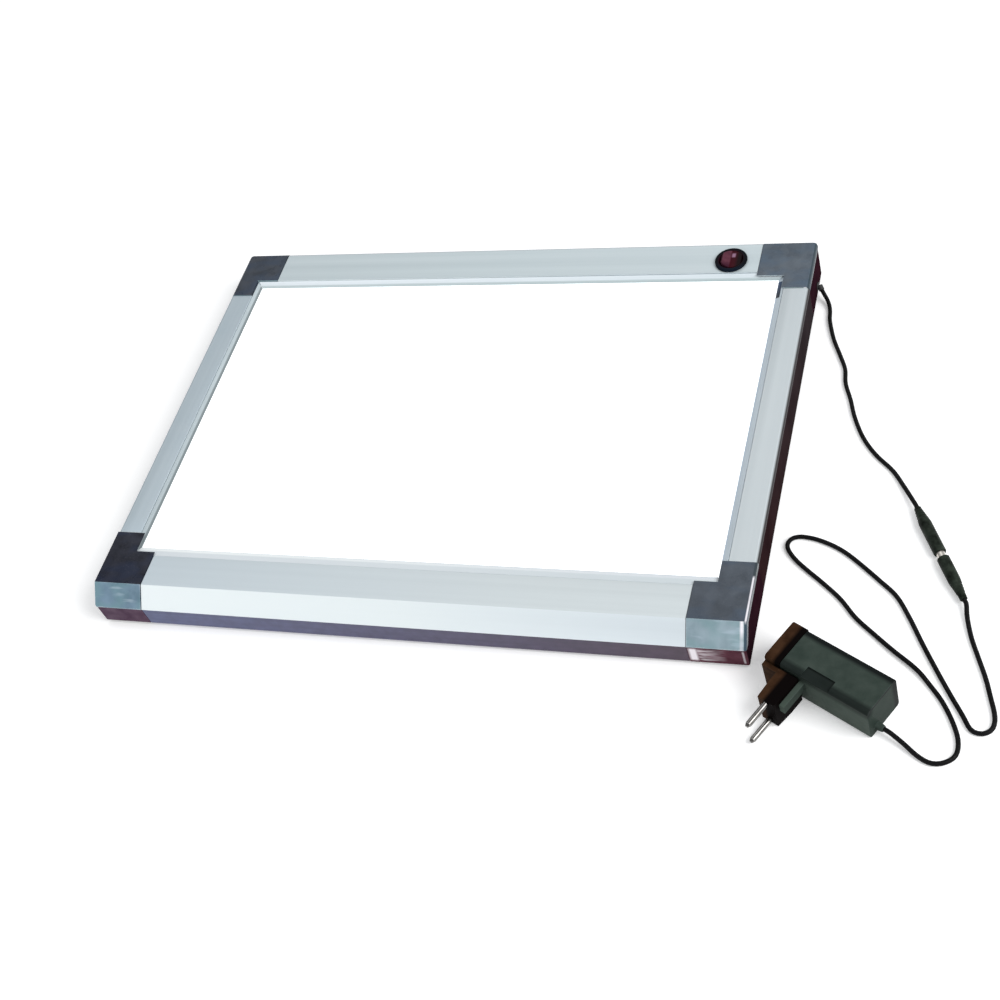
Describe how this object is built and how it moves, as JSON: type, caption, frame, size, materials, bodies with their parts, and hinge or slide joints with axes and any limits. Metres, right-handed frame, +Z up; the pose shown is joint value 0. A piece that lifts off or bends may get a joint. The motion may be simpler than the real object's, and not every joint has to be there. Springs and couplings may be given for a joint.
{
  "type": "light box",
  "caption": "Flat tracing light box: opal panel in a silver frame with dark corner caps and a sloped front, round rocker switch, and a low-voltage lead with a plug-in adapter.",
  "frame": {"origin": "centre of the box's footprint on the surface its feet stand on, lead and adapter left out", "axes": "+X right along the long side that holds the switch, +Y away from the user, from the sloped front to the back, +Z up"},
  "size_m": [0.6165, 0.4031, 0.0358],
  "materials": {
    "frame_aluminium": "satin silver anodised",
    "bead_aluminium": "bright satin silver, darker along its foot",
    "cap_slate": "slate blue-grey, fine satin moulding",
    "boot_maroon": "dark maroon, semi-gloss",
    "skirt_plum": "dark plum grey, satin",
    "opal_acrylic": "opal white, satin, lit from behind",
    "base_steel": "black powder coat",
    "foot_rubber": "black, matt",
    "zinc_steel": "zinc plated",
    "white_film": "matt white reflecting film",
    "white_board": "white solder mask",
    "green_board": "green solder mask",
    "switch_nylon": "black satin nylon",
    "rocker_red": "dark red, glossy",
    "tinned_brass": "tinned",
    "lead_vinyl": "black soft vinyl",
    "wire_red": "red vinyl",
    "nickel": "nickel plated",
    "adapter_grey": "dark grey-green, fine spark texture",
    "cover_brown": "dark brown, fine spark texture"
  },
  "bodies": {
    "light_box": {"rail_front": "frame_aluminium", "rail_back": "frame_aluminium", "rail_left": "frame_aluminium", "rail_right": "frame_aluminium", "bead_front": "bead_aluminium", "bead_back": "bead_aluminium", "bead_left": "bead_aluminium", "bead_right": "bead_aluminium", "corner_cap_front_left": "cap_slate", "corner_cap_front_right": "cap_slate", "corner_cap_back_left": "cap_slate", "corner_cap_back_right": "cap_slate", "corner_boot_front_left": "boot_maroon", "corner_boot_front_right": "boot_maroon", "corner_boot_back_left": "boot_maroon", "corner_boot_back_right": "boot_maroon", "skirt_back": "boot_maroon", "skirt_left": "boot_maroon", "skirt_right": "boot_maroon", "skirt_front": "skirt_plum", "opal_panel": "opal_acrylic", "base_plate": "base_steel", "foot_1": "foot_rubber", "foot_2": "foot_rubber", "foot_3": "foot_rubber", "foot_4": "foot_rubber", "cord_gland": "foot_rubber", "base_screw_1": "zinc_steel", "base_screw_2": "zinc_steel", "base_screw_3": "zinc_steel", "base_screw_4": "zinc_steel", "base_screw_5": "zinc_steel", "base_screw_6": "zinc_steel", "base_screw_7": "zinc_steel", "base_screw_8": "zinc_steel", "reflector_sheet": "white_film", "led_bar_1": "white_board", "led_bar_2": "white_board", "led_bar_3": "white_board", "led_bar_4": "white_board", "led_bar_5": "white_board", "led_bus_strip": "white_board", "connection_board": "green_board", "switch_housing": "switch_nylon", "switch_terminal_1": "tinned_brass", "switch_terminal_2": "tinned_brass", "box_lead": "lead_vinyl", "adapter_lead": "lead_vinyl", "lead_tail": "lead_vinyl", "inline_socket": "lead_vinyl", "inline_plug": "lead_vinyl", "switch_wire_1": "wire_red", "switch_wire_2": "wire_red", "feed_wire": "wire_red", "plug_barrel": "nickel", "adapter_pin_1": "nickel", "adapter_pin_2": "nickel", "adapter_body": "adapter_grey", "adapter_cover": "cover_brown"},
    "rocker": {"switch_rocker": "rocker_red"}
  },
  "joints": [
    {"name": "rocker_tilt", "type": "hinge", "parent": "light_box", "child": "rocker", "pos_m": [0.174, 0.1545, 0.0295], "axis": [0, 1, 0], "range_deg": [-15, 0]}
  ]
}
